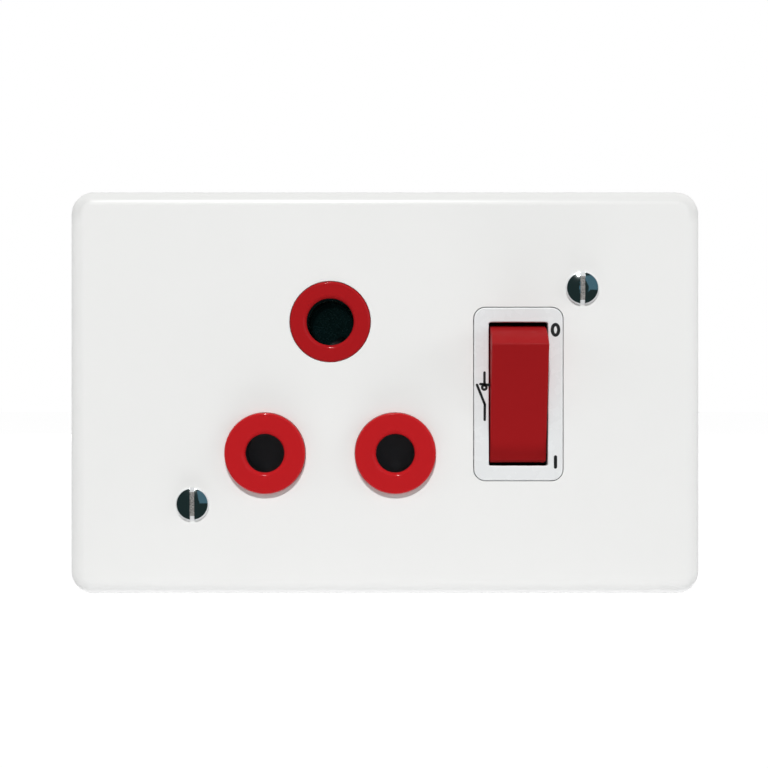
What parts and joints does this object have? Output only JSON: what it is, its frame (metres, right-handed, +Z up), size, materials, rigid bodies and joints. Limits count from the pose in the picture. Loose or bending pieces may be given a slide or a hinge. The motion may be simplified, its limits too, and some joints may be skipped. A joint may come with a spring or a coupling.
{
  "type": "switched socket",
  "caption": "Wall socket outlet for three round pins, with a rocker switch, shutters and a pressed steel cover plate.",
  "frame": {"origin": "middle of the two wall box screws, on the back face of the yoke", "axes": "+X to the right seen from the front, +Z up, +Y into the wall"},
  "size_m": [0.1232, 0.0374, 0.0788],
  "materials": {
    "white_enamel": "gloss powder coat",
    "nickel_plate": "bright nickel",
    "zinc_steel": "zinc plated",
    "red_moulding": "gloss moulded",
    "white_moulding": "gloss moulded",
    "grey_moulding": "fine matt",
    "black_moulding": "fine matt",
    "cream_moulding": "fine matt",
    "nylon": "satin",
    "contact_brass": "bare brass",
    "copper_strip": "bare copper",
    "silver_tip": "silver",
    "spring_steel": "blued spring steel"
  },
  "bodies": {
    "base": {"cover_plate": "white_enamel", "cover_screws": "nickel_plate", "mounting_yoke": "zinc_steel", "socket_front": "red_moulding", "rear_housing": "black_moulding", "contact_deck": "cream_moulding", "shutter_spring": "spring_steel", "line_contact": "contact_brass", "neutral_contact": "contact_brass", "earth_contact": "contact_brass", "line_clip": "spring_steel", "neutral_clip": "spring_steel", "earth_clip": "spring_steel", "earth_strap": "copper_strip", "line_link": "copper_strip", "terminal_screws": "contact_brass", "housing_screws": "zinc_steel", "switch_bezel": "white_moulding", "switch_screws": "zinc_steel", "fixed_contact_tip": "silver_tip", "load_terminal": "contact_brass", "supply_terminal": "contact_brass"},
    "rocker": {"rocker": "red_moulding", "plunger_spring": "spring_steel"},
    "plunger": {"plunger": "nylon"},
    "bridge": {"contact_bridge": "copper_strip", "moving_contact_tip": "silver_tip"},
    "shutter": {"shutter": "grey_moulding"}
  },
  "joints": [
    {"name": "rocker_hinge", "type": "hinge", "parent": "base", "child": "rocker", "pos_m": [0.026, -0.003, -0.00028], "axis": [-1, 0, 0], "range_deg": [0, 32]},
    {"name": "plunger_slide", "type": "slide", "parent": "rocker", "child": "plunger", "axis": [0, 0.9613, 0.2756], "range_m": [-0.0006, 0], "stiffness_N_per_m": 300, "springref_m": 0.0015, "deforming": ["plunger_spring"]},
    {"name": "bridge_hinge", "type": "hinge", "parent": "base", "child": "bridge", "pos_m": [0.026, 0.0095, -0.00028], "axis": [-1, 0, 0], "range_deg": [-18, 0]},
    {"name": "shutter_swing", "type": "hinge", "parent": "base", "child": "shutter", "pos_m": [-0.0107, 0.0023, 0.00643], "axis": [0, 1, 0], "range_deg": [0, 21.5], "stiffness_Nm_per_rad": 0.02, "springref_deg": -17.19, "deforming": ["shutter_spring"]}
  ],
  "couplings": [
    {"joint": "bridge_hinge", "follows": "rocker_hinge", "ratio": -0.5625}
  ]
}
